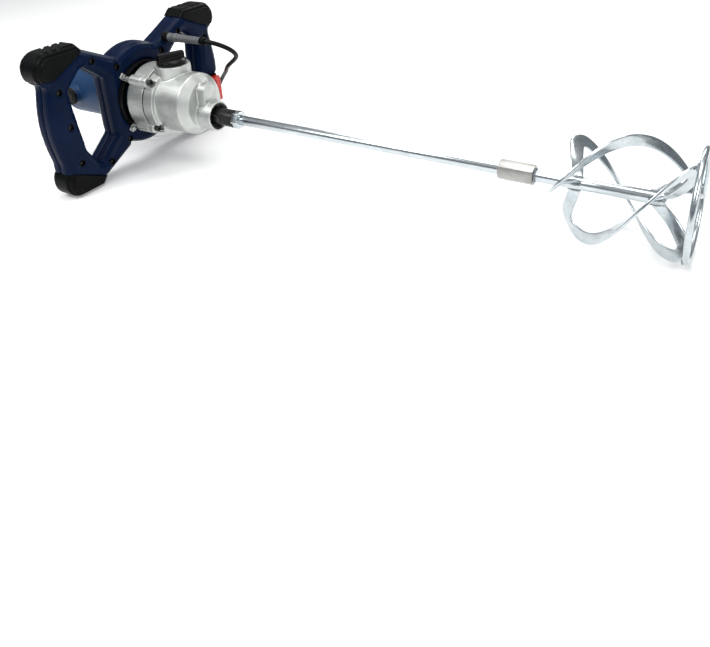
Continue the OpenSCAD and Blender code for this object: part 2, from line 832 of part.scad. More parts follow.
frame_front();
frame_rear();
frame_screws();
corner_cap_switch_top();
corner_cap_switch_bottom();
corner_cap_plain_top();
corner_cap_plain_bottom();
motor_housing();
motor_end_cover();
stator();
ring_liner();
armature();
commutator();
cooling_fan();
motor_pinion();
motor_bearing_front();
motor_bearing_rear();
brush_caps();
brush_holders();
carbon_brushes();
gearbox_plate();
gearbox_housing();
gearbox_screws();
plate_screws();
layshaft();
layshaft_gear();
layshaft_bushes();
spindle();
spindle_gear();
spindle_bearing();
spindle_bush();
nose_circlip();
nose_seal();
selector_shaft();
selector_knob();
switch_body();
trigger();
trigger_pin();
lock_button();
jam_nut();
extension_rod();
paddle_coupling();
paddle_shaft();
blade_1();
blade_2();
blade_3();
paddle_ring();
cord_boot();
cord_run();
cord_coil();
plug_body();
plug_pins();
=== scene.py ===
# Looks for the mortar mixer with its rod and mixing paddle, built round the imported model.
import bpy, bmesh, json, math
from mathutils import Matrix, Vector, noise


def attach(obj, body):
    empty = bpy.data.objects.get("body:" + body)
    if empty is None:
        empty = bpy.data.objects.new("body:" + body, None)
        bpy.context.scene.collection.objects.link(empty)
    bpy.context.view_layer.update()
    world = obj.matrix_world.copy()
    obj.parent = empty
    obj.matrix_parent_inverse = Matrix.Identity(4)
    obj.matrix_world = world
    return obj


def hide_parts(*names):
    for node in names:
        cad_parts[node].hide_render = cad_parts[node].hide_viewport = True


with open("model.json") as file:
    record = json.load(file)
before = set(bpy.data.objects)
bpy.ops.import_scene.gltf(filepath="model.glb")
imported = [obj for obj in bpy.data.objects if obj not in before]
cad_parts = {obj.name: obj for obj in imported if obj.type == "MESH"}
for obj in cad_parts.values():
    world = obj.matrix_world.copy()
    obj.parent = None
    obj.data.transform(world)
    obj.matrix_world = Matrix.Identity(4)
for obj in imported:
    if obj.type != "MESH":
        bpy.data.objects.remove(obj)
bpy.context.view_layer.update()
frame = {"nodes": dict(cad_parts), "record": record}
NODES = frame["nodes"]
BODY = {n: b for b, ns in frame["record"]["behaviour"]["bodies"].items() for n in ns}
SLOT = {p["node"]: p["material_slot"] for p in frame["record"]["subparts"]}
scene = bpy.context.scene

# The machine is drawn along its spindle in millimetres and then laid on the floor, as in the CAD:
# tilted until it lies on the floor, with the middle of its length at the origin
TILT = math.radians(2.1515)
MID_X, FLOOR = 169.965, -86.7407
COS, SIN = math.cos(TILT), math.sin(TILT)
LAY = Matrix(((COS, 0, SIN, -MID_X), (0, 1, 0, 0), (-SIN, 0, COS, -FLOOR), (0, 0, 0, 1000))) * 0.001
MM = Matrix.Scale(0.001, 4)
# The motor's axis above the spindle's, and the back, parting plane and front of the handle frame
RISE = 14.0
FRAME_BACK, FRAME_MID, FRAME_FRONT = -183.0, -162.0, -141.0


def lay(x, y, z):
    return LAY @ Vector((x, y, z))


# ---------------------------------------------------------------- camera
cam = bpy.data.cameras.new("camera")
cam.lens, cam.sensor_width = 36.526, 36.0
cam.shift_x, cam.shift_y = -0.01004, -0.24612
cam.clip_start, cam.clip_end = 0.01, 60
cam_ob = bpy.data.objects.new("camera", cam)
cam_ob.location = (0.5198, -0.7233, 0.4312)
cam_ob.rotation_euler = (1.16855, 0.08128, 0.52551)
scene.collection.objects.link(cam_ob)
scene.camera = cam_ob


# ---------------------------------------------------------------- materials
def node_mat(name):
    m = bpy.data.materials.new(name)
    m.use_nodes = True
    nt = m.node_tree
    nt.nodes.clear()
    out = nt.nodes.new("ShaderNodeOutputMaterial")
    b = nt.nodes.new("ShaderNodeBsdfPrincipled")
    nt.links.new(b.outputs[0], out.inputs[0])
    return m, nt, b


def noise_tex(nt, coord, scale, detail=3.0, rough=0.55, stretch=None):
    n = nt.nodes.new("ShaderNodeTexNoise")
    n.inputs["Scale"].default_value = scale
    n.inputs["Detail"].default_value = detail
    n.inputs["Roughness"].default_value = rough
    if stretch:
        mp = nt.nodes.new("ShaderNodeMapping")
        mp.inputs["Scale"].default_value = stretch
        nt.links.new(coord, mp.inputs[0])
        coord = mp.outputs[0]
    nt.links.new(coord, n.inputs["Vector"])
    return n.outputs[0]


def ramp(nt, fac, stops):
    r = nt.nodes.new("ShaderNodeValToRGB")
    els = r.color_ramp.elements
    els[0].position, els[0].color = stops[0][0], stops[0][1]
    els[1].position, els[1].color = stops[-1][0], stops[-1][1]
    for p, c in stops[1:-1]:
        els.new(p).color = c
    nt.links.new(fac, r.inputs[0])
    return r.outputs[0]


def remap(nt, fac, lo, hi, a=0.3, b=0.7):
    r = nt.nodes.new("ShaderNodeMapRange")
    for i, v in enumerate((a, b, lo, hi)):
        r.inputs[i + 1].default_value = v
    nt.links.new(fac, r.inputs[0])
    return r.outputs[0]


def finish_mat(name, dark, light, rough, fine=900.0, bump=0.10, patch=35.0, metal=0.0, coat=0.0,
               coat_rough=0.2, stretch=None, depth=0.00025, spec=0.5, edge=None):
    """A moulded, cast or plated finish: colour drifts between dark and light over the patches,
    roughness varies over two scales, fine grain stands up in the bump and edges rub brighter."""
    m, nt, b = node_mat(name)
    tc = nt.nodes.new("ShaderNodeTexCoord").outputs["Object"]
    big = noise_tex(nt, tc, patch, 4.0)
    grain = noise_tex(nt, tc, fine, 2.5, 0.6, stretch)
    mid = noise_tex(nt, tc, patch * 7, 3.0, 0.6, stretch)
    col = ramp(nt, big, [(0.3, (*dark, 1)), (0.7, (*light, 1))])
    mix = nt.nodes.new("ShaderNodeMix")
    mix.data_type = "RGBA"
    mix.blend_type = "MULTIPLY"
    mix.inputs[0].default_value = 0.55
    nt.links.new(col, mix.inputs[6])
    nt.links.new(ramp(nt, grain, [(0.35, (0.72, 0.72, 0.72, 1)), (0.65, (1, 1, 1, 1))]), mix.inputs[7])
    col = mix.outputs[2]
    if edge:
        geo = nt.nodes.new("ShaderNodeNewGeometry").outputs["Pointiness"]
        worn = nt.nodes.new("ShaderNodeMix")
        worn.data_type = "RGBA"
        nt.links.new(remap(nt, geo, 0.0, edge[1], 0.53, 0.62), worn.inputs[0])
        nt.links.new(col, worn.inputs[6])
        worn.inputs[7].default_value = (*edge[0], 1)
        col = worn.outputs[2]
    nt.links.new(col, b.inputs["Base Color"])
    nt.links.new(remap(nt, mid, rough[0], rough[1]), b.inputs["Roughness"])
    b.inputs["Metallic"].default_value = metal
    b.inputs["Coat Weight"].default_value = coat
    b.inputs["Coat Roughness"].default_value = coat_rough
    b.inputs["Specular IOR Level"].default_value = spec
    bp = nt.nodes.new("ShaderNodeBump")
    bp.inputs["Strength"].default_value = bump
    bp.inputs["Distance"].default_value = depth
    nt.links.new(grain, bp.inputs["Height"])
    nt.links.new(bp.outputs[0], b.inputs["Normal"])
    return m


MAT = {
    "navy_plastic": finish_mat("navy_plastic", (0.0013, 0.0058, 0.024), (0.0021, 0.0092, 0.035), (0.27, 0.38),
                               1400, 0.12, 25, spec=0.06, edge=((0.012, 0.036, 0.090), 0.25)),
    "housing_blue": finish_mat("housing_blue", (0.010, 0.037, 0.098), (0.015, 0.050, 0.130), (0.34, 0.46),
                               1300, 0.12, 30, spec=0.18, edge=((0.04, 0.10, 0.20), 0.35)),
    "black_rubber": finish_mat("black_rubber", (0.0020, 0.0022, 0.0024), (0.0042, 0.0046, 0.0048),
                               (0.30, 0.44), 1100, 0.22, 30, spec=0.06, edge=((0.016, 0.016, 0.017), 0.3)),
    # a grey rubber whose grey paints the highlight along the black tube of the cord boot
    "painted_highlight_rubber": finish_mat("painted_highlight_rubber", (0.085, 0.090, 0.096), (0.125, 0.131, 0.138), (0.34, 0.48),
                              1100, 0.20, 40, spec=0.4),
    "black_plastic": finish_mat("black_plastic", (0.0020, 0.0020, 0.0024), (0.0040, 0.0040, 0.0045),
                                (0.24, 0.36), 1500, 0.14, 30, spec=0.12, edge=((0.020, 0.020, 0.022), 0.3)),
    "cord_rubber": finish_mat("cord_rubber", (0.0022, 0.0022, 0.0025), (0.0048, 0.0048, 0.0052), (0.34, 0.50),
                              1200, 0.20, 40, spec=0.12),
    "red_plastic": finish_mat("red_plastic", (0.46, 0.006, 0.004), (0.56, 0.010, 0.006), (0.20, 0.32),
                              1500, 0.10, 30, coat=0.2, edge=((0.70, 0.06, 0.04), 0.4)),
    "cast_aluminium": finish_mat("cast_aluminium", (0.46, 0.475, 0.455), (0.60, 0.62, 0.60), (0.32, 0.48),
                                 1500, 0.40, 45, metal=0.84, depth=0.0004, edge=((0.66, 0.65, 0.61), 0.8)),
    "bright_zinc": finish_mat("bright_zinc", (0.50, 0.555, 0.580), (0.61, 0.655, 0.675), (0.17, 0.27),
                              420, 0.045, 40, metal=1.0, stretch=(0.15, 1, 1),
                              edge=((0.66, 0.71, 0.74), 0.6)),
    "satin_zinc": finish_mat("satin_zinc", (0.31, 0.305, 0.29), (0.40, 0.395, 0.38), (0.28, 0.42),
                             700, 0.07, 50, metal=1.0, stretch=(0.2, 1, 1), edge=((0.62, 0.62, 0.60), 0.6)),
    "weld": finish_mat("weld", (0.16, 0.185, 0.20), (0.42, 0.46, 0.48), (0.25, 0.50), 700, 0.5, 220,
                       metal=1.0, depth=0.0005),
    "black_steel": finish_mat("black_steel", (0.010, 0.010, 0.011), (0.028, 0.027, 0.026), (0.24, 0.40),
                              900, 0.16, 60, metal=0.7, edge=((0.20, 0.20, 0.20), 0.7)),
    "steel": finish_mat("steel", (0.34, 0.35, 0.36), (0.50, 0.51, 0.52), (0.20, 0.36), 900, 0.12, 60,
                        metal=1.0, stretch=(1, 0.2, 1)),
    "copper_winding": finish_mat("copper_winding", (0.42, 0.18, 0.07), (0.60, 0.28, 0.12), (0.25, 0.45),
                                 700, 0.3, 60, metal=0.9, stretch=(0.1, 1, 1)),
    "brass": finish_mat("brass", (0.55, 0.40, 0.16), (0.70, 0.54, 0.26), (0.18, 0.34), 900, 0.12, 60,
                        metal=1.0),
    "carbon": finish_mat("carbon", (0.012, 0.012, 0.014), (0.025, 0.025, 0.028), (0.4, 0.6), 1200, 0.2, 60),
}


def paint(ob, name):
    ob.data.materials.clear()
    ob.data.materials.append(MAT[name])


for n, ob in NODES.items():
    paint(ob, SLOT[n])
paint(NODES["nose_seal"], "black_rubber")


# ---------------------------------------------------------------- mesh tools
def link(name, me, body, slot, mat=None, nodes=(), smooth=None):
    """A finished piece: painted, smooth except at edges sharper than smooth degrees, riding on its
    body, and standing for the CAD nodes it replaces."""
    ob = bpy.data.objects.new(name, me)
    scene.collection.objects.link(ob)
    paint(ob, mat or slot)
    me.polygons.foreach_set("use_smooth", [True] * len(me.polygons))
    if smooth is not None:
        me.set_sharp_from_angle(angle=math.radians(smooth))
    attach(ob, body)
    if nodes:
        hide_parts(*nodes)
    return ob


def from_bm(bm, name, matrix=LAY):
    """The mesh of bm, laid down from machine millimetres or placed by another matrix; bm is freed."""
    bmesh.ops.recalc_face_normals(bm, faces=bm.faces)
    me = bpy.data.meshes.new(name)
    bm.to_mesh(me)
    bm.free()
    if matrix:
        me.transform(matrix)
    return me


def absorb(bm, me):
    """Adds a mesh to bm and drops it."""
    bm.from_mesh(me)
    bpy.data.meshes.remove(me)


def evaluated(ob):
    """The object's mesh with its modifiers applied; the modifiers are cleared."""
    dg = bpy.context.evaluated_depsgraph_get()
    me = bpy.data.meshes.new_from_object(ob.evaluated_get(dg))
    old = ob.data
    ob.modifiers.clear()
    ob.data = me
    bpy.data.meshes.remove(old)
    return me


def cad_mesh(*nodes):
    bm = bmesh.new()
    for n in nodes:
        bm.from_mesh(NODES[n].data)
    bmesh.ops.remove_doubles(bm, verts=bm.verts, dist=2e-6)
    return bm


def soft_form(name, node, voxel, rounds, keep=0.5, mat=None, adds=(), late=()):
    """A moulded or cast piece: the CAD form and its added blocks are fused on a fine grid, its edges
    rounded off by smoothing, thinned where it is flat, and then cut by the late cutters."""
    bm = cad_mesh(node)
    for a in adds:
        absorb(bm, a)
    ob = bpy.data.objects.new(name, from_bm(bm, name, None))
    scene.collection.objects.link(ob)
    r = ob.modifiers.new("grid", "REMESH")
    r.mode, r.voxel_size, r.adaptivity = "VOXEL", voxel, 0.0
    s = ob.modifiers.new("round", "SMOOTH")
    s.factor, s.iterations = 0.5, rounds
    ob.modifiers.new("thin", "DECIMATE").ratio = keep
    cutters = []
    for c in late:
        cutter = bpy.data.objects.new("cut", c)
        scene.collection.objects.link(cutter)
        cutters.append(cutter)
        bo = ob.modifiers.new("late", "BOOLEAN")
        bo.operation, bo.object, bo.solver = "DIFFERENCE", cutter, "MANIFOLD"
    me = evaluated(ob)
    for done in (ob, *cutters):
        bpy.data.objects.remove(done)
    return link(name, me, BODY[node], SLOT[node], mat, [node])


def crisp_form(name, node, width, segs=2, angle=25, mat=None):
    """A machined piece: the CAD form with its edges broken by a small bevel."""
    bm = cad_mesh(node)
    bmesh.ops.dissolve_limit(bm, angle_limit=math.radians(1.0), verts=bm.verts, edges=bm.edges)
    ob = bpy.data.objects.new(name, from_bm(bm, name, None))
    scene.collection.objects.link(ob)
    b = ob.modifiers.new("bevel", "BEVEL")
    b.width, b.segments, b.limit_method, b.angle_limit = width, segs, "ANGLE", math.radians(angle)
    ob.modifiers.new("tri", "TRIANGULATE")
    me = evaluated(ob)
    bpy.data.objects.remove(ob)
    return link(name, me, BODY[node], SLOT[node], mat, [node], 30)


def lathe(rows, segs=64, axis="x", at=(0, 0, 0), flute=None):
    """Rings [position, radius] turned about an axis through at; flute(angle, i) scales a radius."""
    bm = bmesh.new()
    rings = []
    for i, (p, r) in enumerate(rows):
        ring = []
        for j in range(segs):
            a = 2 * math.pi * j / segs
            q = r * (flute(a, i) if flute else 1.0)
            u, v = q * math.cos(a), q * math.sin(a)
            co = {"x": (p, u, v), "y": (v, p, u), "z": (u, v, p)}[axis]
            ring.append(bm.verts.new(Vector(co) + Vector(at)))
        rings.append(ring)
    for a, b in zip(rings, rings[1:]):
        for j in range(segs):
            bm.faces.new((a[j], a[(j + 1) % segs], b[(j + 1) % segs], b[j]))
    bm.faces.new(rings[0][::-1])
    bm.faces.new(rings[-1])
    return bm


def block(x0, x1, y0, y1, z0, z1):
    """A closed box between two corners, for fusing and cutting."""
    bm = bmesh.new()
    bmesh.ops.create_cube(bm, size=1)
    for v in bm.verts:
        v.co = Vector(((x0 + x1) / 2 + v.co.x * (x1 - x0), (y0 + y1) / 2 + v.co.y * (y1 - y0),
                       (z0 + z1) / 2 + v.co.z * (z1 - z0)))
    return from_bm(bm, "block")


# ---------------------------------------------------------------- cord
COIL = (-248.0 - MID_X, 130.0)
AIR = [(-58, 54, 90), (-46.4, 55.9, 88.6), (-35.8, 62.1, 84), (-29.1, 72.7, 75.7), (-31.4, 87.5, 63.1),
       (-45, 99.6, 51.7), (-61.2, 110.8, 42), (-78, 122, 32), (-95, 135, 21), (-111, 149, 9),
       (-127, 162, -2), (-142, 173, -13), (-155.9, 181, -25.9), (-168.1, 186, -40),
       (-180.2, 189, -55), (-192.2, 190.3, -70.6)]
GROUND = [(-208.2, 189.8, 10.1), (-226.7, 186.6, 4.3)]
CORD_D = 0.007
# Coil, in millimetres and degrees round it: the innermost radius, the spacing of the turns, where it
# turns outwards and where the cord leaves it; and then the bend up into the plug, and the plug's height
COIL_INSIDE, PITCH, TURN_BACK, LEAVE = 29.0, 7.0, 1080, 1952
TAIL_BEND, PLUG_Z = 30.0, 31.0


def smoothstep(t):
    t = min(max(t, 0.0), 1.0)
    return t * t * (3 - 2 * t)


def coil_point(deg):
    """A flat spiral: three turns inwards on the floor, and then out again on top of them. The turns
    lie one diameter apart, and within 60 degrees of the innermost point the reversal is rounded."""
    past = deg - TURN_BACK
    r = COIL_INSIDE + PITCH * (abs(past) if abs(past) > 60 else past * past / 120 + 30) / 360
    z = PITCH / 2 + PITCH * smoothstep((past + 80) / 160)
    a = math.radians(deg + 90)
    return Vector((COIL[0] + r * math.cos(a), COIL[1] + r * math.sin(a), z))


def cord_path():
    """The cord's line in metres: through the air, down to the floor, round the coil and up to the plug."""
    pts = [lay(*p) * 1000 for p in AIR]
    pts += [Vector((x - MID_X, y, z)) for x, y, z in GROUND]
    pts += [coil_point(d) for d in range(6, LEAVE + 1, 14)]
    # off the last turn in a straight line, and round in a bend up into the tail of the plug
    leave = math.radians(LEAVE + 180)
    ahead = Vector((math.cos(leave), math.sin(leave), 0))
    start = pts[-1]
    run = (TAIL_BEND * (ahead.x + 1) - (COIL[1] - start.y)) / -ahead.y
    pts += [start + ahead * run * t for t in (0.35, 0.7)]
    bend_at = start + ahead * run
    mid = bend_at + Vector((-ahead.y, ahead.x, 0)) * TAIL_BEND
    sweep = math.pi * 2 - leave % (2 * math.pi) + math.pi
    for i in range(15):
        a = leave - math.pi / 2 + sweep * i / 14
        z = start.z + (PLUG_Z - start.z) * smoothstep(i / 14)
        pts.append(Vector((mid.x + TAIL_BEND * math.cos(a), mid.y + TAIL_BEND * math.sin(a), z)))
    return [p / 1000 for p in pts]


def cord_curve(pts):
    cu = bpy.data.curves.new("mains_cord", "CURVE")
    cu.dimensions = "3D"
    cu.resolution_u = 5
    cu.bevel_depth = CORD_D / 2
    cu.bevel_resolution = 6
    cu.use_fill_caps = True
    sp = cu.splines.new("BEZIER")
    sp.bezier_points.add(len(pts) - 1)
    for bp, p in zip(sp.bezier_points, pts):
        bp.co = p
        bp.handle_left_type = bp.handle_right_type = "AUTO"
    return cu


cord_pts = cord_path()
cord = bpy.data.objects.new("mains_cord", cord_curve(cord_pts))
scene.collection.objects.link(cord)
paint(cord, "cord_rubber")
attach(cord, "machine")
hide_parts("cord_run", "cord_coil")

# The boot: a bushing in the frame and a tapered, ribbed strain relief that ends in a collar
boot_rows = [(-141, 7.6), (-140.4, 8.0), (-136.5, 8.0), (-135.2, 7.4), (-134.4, 6.5), (-133.8, 6.4),
             (-133.2, 7.3), (-131.6, 7.5), (-130.4, 7.2), (-129.8, 6.5), (-119, 6.3), (-118.4, 6.8),
             (-116.4, 6.8), (-115.8, 6.2)]
for i in range(7):
    x = -112.0 + i * 6.4
    r = 6.15 - 0.11 * i
    boot_rows += [(x, r), (x + 0.5, r - 0.75), (x + 1.7, r - 0.75), (x + 2.2, r)]
boot_rows += [(-67.5, 5.25), (-67, 5.9), (-66.4, 6.1), (-60.2, 6.1), (-58.9, 5.8), (-58, 4.9), (-58.6, 3.6)]
boot = link("cord_strain_relief", from_bm(lathe(boot_rows, 56, "x", (0, 54, 90)), "boot"), "machine",
            "black_rubber", nodes=["cord_boot"], smooth=50)
# The middle of the boot is painted grey: a painted highlight along its black rubber tube
boot.data.materials.append(MAT["painted_highlight_rubber"])
lo, hi = lay(-129.5, 0, 90).x, lay(-67.8, 0, 90).x
for poly in boot.data.polygons:
    poly.material_index = 1 if lo < poly.center.x < hi else 0

# The plug lies on the coil: a ribbed tail, a cone and a fluted grip, with two pins
P = (COIL[0], COIL[1], PLUG_Z)
plug_rows = [(22, 3.7), (21.4, 4.8), (20, 5.0), (19, 4.6), (17.5, 4.6), (17, 5.6), (15.6, 5.8), (14.6, 5.2),
             (13, 5.3), (12.4, 6.6), (11, 6.9), (10, 6.2), (8.4, 6.4), (7.8, 8.0), (6, 8.6), (5, 8.2),
             (3.4, 9.5), (0, 12.6), (-3, 15.0), (-6, 16.4), (-8.5, 17.0), (-26.5, 17.0), (-28.8, 16.4),
             (-30, 15.0)]
CONE_ROW, GRIP_ROW = 17, 19


def plug_grip(a, i):
    """Fine flutes round the grip, and its two sides pressed a little flat."""
    wave = 0.0 if i < GRIP_ROW else 0.012 * math.cos(24 * a)
    return 1.0 - wave - (0.05 * abs(math.sin(a)) ** 3 if i >= CONE_ROW else 0.0)


plug = link("plug_grip", from_bm(lathe(plug_rows, 96, "x", P, plug_grip), "plug", MM), "machine",
            "cord_rubber", nodes=["plug_body"], smooth=40)
bm = bmesh.new()
for s in (-1, 1):
    part = lathe([(-29.5, 2.4), (-47.4, 2.4), (-48.4, 2.0), (-48.9, 1.2), (-49, 0.4)], 32, "x",
                 (P[0], P[1] + 9.5 * s, P[2]))
    absorb(bm, from_bm(part, "pin", MM))
pins = link("plug_prongs", from_bm(bm, "pins", None), "machine", "brass", nodes=["plug_pins"], smooth=40)


def ribbon_loop(name, centre, radial, half_w, half_h, corner, width, thick):
    """A strap round a bundle: a rounded rectangle in the plane of radial and z."""
    side = Vector((-radial.y, radial.x, 0))
    bm = bmesh.new()
    path = []
    for q in range(4):
        for k in range(7):
            a = math.pi / 2 * (q + k / 6)
            cx = (half_w - corner) * (1 if q in (0, 3) else -1)
            cz = (half_h - corner) * (1 if q < 2 else -1)
            path.append(((cx + corner * math.cos(a)), (cz + corner * math.sin(a)), math.cos(a), math.sin(a)))
    rings = []
    for u, w, nu, nw in path:
        ring = []
        for s, t in ((-1, 0), (-0.92, 1), (0.92, 1), (1, 0), (0.9, -0.3), (-0.9, -0.3)):
            p = centre + radial * (u + nu * thick * t) + side * (s * width / 2)
            p.z = max(p.z + w + nw * thick * t, 0.05)
            ring.append(bm.verts.new(p))
        rings.append(ring)
    for a, b in zip(rings, rings[1:] + rings[:1]):
        for j in range(6):
            bm.faces.new((a[j], a[(j + 1) % 6], b[(j + 1) % 6], b[j]))
    return bm


tie_dir = Vector((math.cos(2.4), math.sin(2.4), 0))
tie = ribbon_loop("tie", Vector((COIL[0], COIL[1], 7.0)) + tie_dir * 42, tie_dir, 10.4, 6.9, 3.4, 9, 0.9)
tie_me = from_bm(tie, "tie", MM)
tie_ob = link("coil_tie", tie_me, "machine", "black_rubber")

# ---------------------------------------------------------------- paddle
RING_X, RING_R, RING_BAR = 633.5, 59.75, 6.5
SHAFT_X, SHAFT_R, SHAFT_END = 463.5, 7.25, 603.5
BX0, BX1, BW, BT = 509.5, 630.5, 13.0, 3.0
BMID, CR = RING_R + RING_BAR / 2 - 1 - BW / 2, 10.0
TURN = 160.0 / (BX1 - BX0)  # degrees of twist for each millimetre
# The middle line of a blade, as radius and place along the shaft: out from the shaft in a bend, along
# the cage with a slight swell, and in a bend back to the shaft's end
line = [(6.85, BX0), (20, BX0 - 3.5), (33, BX0 - 7)]
line += [(BMID - CR + CR * math.sin(math.radians(a)), BX0 - 9.5 + CR * (1 - math.cos(math.radians(a))))
         for a in range(0, 91, 18)]
line += [(BMID + 2 * math.sin(math.radians(16 * i)), BX0 + i * (BX1 - 12 - BX0) / 11) for i in range(1, 12)]
line += [(BMID - CR + CR * math.cos(math.radians(a)), BX1 - 12 + CR * math.sin(math.radians(a)))
         for a in range(20, 121, 20)]
line += [(24, BX1 - 16), (6.85, SHAFT_END - 9)]
line = [Vector(p) for p in line]


def spline(pts, n):
    """A smooth line through pts, with n steps between each two."""
    out = []
    for i in range(len(pts) - 1):
        p0, p1 = pts[max(i - 1, 0)], pts[i]
        p2, p3 = pts[i + 1], pts[min(i + 2, len(pts) - 1)]
        for k in range(n):
            t = k / n
            out.append(0.5 * ((2 * p1) + (p2 - p0) * t + (2 * p0 - 5 * p1 + 4 * p2 - p3) * t * t
                              + (3 * p1 - p0 - 3 * p2 + p3) * t ** 3))
    out.append(pts[-1])
    return out


def twisted(r, x, h, a0):
    """A point of a blade at radius r and place x, h off its middle plane, with the twist applied."""
    a = math.radians(a0 - TURN * (x - BX0))
    kr = -math.radians(TURN) * r
    n = Vector((kr, math.sin(a), -math.cos(a))) / math.sqrt(1 + kr * kr)
    return Vector((x, r * math.cos(a), r * math.sin(a))) + h * n


def section(w, t, c):
    """A flat bar's section, w by t with corners of radius c."""
    pts = []
    for q, (sx, sy) in enumerate(((1, 1), (-1, 1), (-1, -1), (1, -1))):
        for k in range(4):
            a = math.pi / 2 * (q + k / 3)
            pts.append((sx * (w / 2 - c) + c * math.cos(a), sy * (t / 2 - c) + c * math.sin(a)))
    return pts


SEC = section(BW, BT, 0.9)
# extra points across the flat faces keep the twist smooth
SEC = SEC[:4] + [(2.2, BT / 2), (-2.2, BT / 2)] + SEC[4:12] + [(-2.2, -BT / 2), (2.2, -BT / 2)] + SEC[12:]
fine = spline(line, 5)


def blade(name, a0, node):
    bm = bmesh.new()
    rings = []
    for i, p in enumerate(fine):
        d = (fine[min(i + 1, len(fine) - 1)] - fine[max(i - 1, 0)]).normalized()
        s = Vector((-d.y, d.x))
        # hammered by hand on the bending iron: the width wanders a little
        k = 1.0 - 0.012 * (1 + noise.noise(Vector((i * 0.09, a0, 0))))
        ring = []
        for u, h in SEC:
            q = p + s * u * k
            ring.append(bm.verts.new(twisted(q.x, q.y, h, a0)))
        rings.append(ring)
    n = len(SEC)
    for a, b in zip(rings, rings[1:]):
        for j in range(n):
            bm.faces.new((a[j], a[(j + 1) % n], b[(j + 1) % n], b[j]))
    bm.faces.new(rings[0][::-1])
    bm.faces.new(rings[-1])
    return link(name, from_bm(bm, name), "spindle_set", "bright_zinc", nodes=[node], smooth=60)


FIRST = (150, 30, -90)
for i, a0 in enumerate(FIRST):
    blade("twisted_blade_%d" % (i + 1), a0, "blade_%d" % (i + 1))

bm = bmesh.new()
rings = []
for i in range(144):
    a = 2 * math.pi * i / 144
    ring = []
    for j in range(24):
        b = 2 * math.pi * j / 24
        rr = RING_R + RING_BAR / 2 * math.cos(b)
        ring.append(bm.verts.new((RING_X + RING_BAR / 2 * math.sin(b), rr * math.cos(a), rr * math.sin(a))))
    rings.append(ring)
for a, b in zip(rings, rings[1:] + rings[:1]):
    for j in range(24):
        bm.faces.new((a[j], a[(j + 1) % 24], b[(j + 1) % 24], b[j]))
link("ring_bar", from_bm(bm, "ring_bar"), "spindle_set", "bright_zinc", nodes=["paddle_ring"])


def bead(bm, at, along, up, size, seed):
    """A weld bead: a lump drawn out along its seam, with the ripples of the run."""
    side = along.cross(up)
    res = bmesh.ops.create_icosphere(bm, subdivisions=3, radius=1.0)
    for v in res["verts"]:
        c = v.co.copy()
        ripple = 1 + 0.10 * math.sin(9 * c.x + seed) * (1 - abs(c.x))
        ripple += 0.16 * noise.noise(c * 1.7 + Vector((seed, 3.1 * seed, 0)))
        v.co = at + along * c.x * size[0] + (side * c.y * size[1] + up * c.z * size[2]) * ripple


bm = bmesh.new()
for i, a0 in enumerate(FIRST):
    for x, r, end in ((BX0, SHAFT_R, 0), (SHAFT_END - 9, SHAFT_R, 1)):
        a = math.radians(a0 - TURN * (x - BX0))
        rad = Vector((0, math.cos(a), math.sin(a)))
        side = Vector((0, -math.sin(a), math.cos(a)))
        for s in (-1, 1):
            at = Vector((x + (0.5 if not end else -1.0), 0, 0)) + rad * (r + 0.2) + side * s * 1.9
            bead(bm, at, Vector((1, 0, 0)), rad, (7.0, 1.9, 1.5), 3 * i + s + end * 5)
        at = Vector((x + (-7.0 if not end else 7.5), 0, 0)) + rad * (r - 0.3)
        bead(bm, at, side, rad, (3.4, 2.2, 1.5), i + 11 + end)
    a = math.radians(a0 - TURN * (RING_X - 6 - BX0))
    rad = Vector((0, math.cos(a), math.sin(a)))
    side = Vector((0, -math.sin(a), math.cos(a)))
    for s in (-1, 1):
        at = Vector((RING_X - 3.2, 0, 0)) + rad * (RING_R - 1.5) + side * s * 2.4
        bead(bm, at, rad, side, (4.2, 1.7, 1.7), i * 7 + s)
link("weld_beads", from_bm(bm, "weld_beads"), "spindle_set", "bright_zinc", "weld")
# weld round the joint of coupling and shaft
bm = bmesh.new()
for k in range(22):
    a = 2 * math.pi * k / 22
    rad = Vector((0, math.cos(a), math.sin(a)))
    bead(bm, Vector((SHAFT_X + 0.8, 0, 0)) + rad * (SHAFT_R + 0.3), Vector((0, -math.sin(a), math.cos(a))),
         rad, (1.7, 1.3, 1.0), k)
link("coupling_weld", from_bm(bm, "coupling_weld"), "spindle_set", "bright_zinc", "weld")

crisp_form("coupling_sleeve", "paddle_coupling", 0.0005, mat="satin_zinc")
for n, w in (("jam_nut", 0.0005), ("extension_rod", 0.0006), ("paddle_shaft", 0.0008), ("spindle", 0.0004),
             ("nose_circlip", 0.0002), ("frame_screws", 0.0002), ("gearbox_screws", 0.0003),
             ("plate_screws", 0.0003)):
    crisp_form(n + "_finished", n, w)

# ---------------------------------------------------------------- moulded and cast forms
VOX = 1.0
# Screws of the frame, as y and z from the motor's axis: eight in the arms, three in the plain grip
# and one in the switch grip. Each has a recess, cut last, lined with a black cup that paints the shade inside
# it.
SCREWS = [(sy * y, sz * z) for sy in (-1, 1) for sz in (-1, 1) for y, z in ((85, 77), (45, 56))]
SCREWS += [(-136, -58), (-141, -2), (-147, 50), (142, 52)]
recesses, shade_cups = bmesh.new(), bmesh.new()
for y, z in SCREWS:
    for target, rows in ((recesses, [(-10, 4.7), (11, 4.7)]),
                         (shade_cups, [(-8.6, 4.6), (-0.6, 4.6), (-0.4, 4.2), (-0.9, 3.9), (-8.2, 3.9),
                                 (-8.2, 3.8)])):
        rows = [(FRAME_FRONT + x, r) for x, r in rows]
        absorb(target, from_bm(lathe(rows, 40, "x", (0, y, RISE + z)), "recess"))
link("screw_recess_shade_linings", from_bm(shade_cups, "screw_recess_shade_linings", None), "machine", "black_plastic", smooth=40)

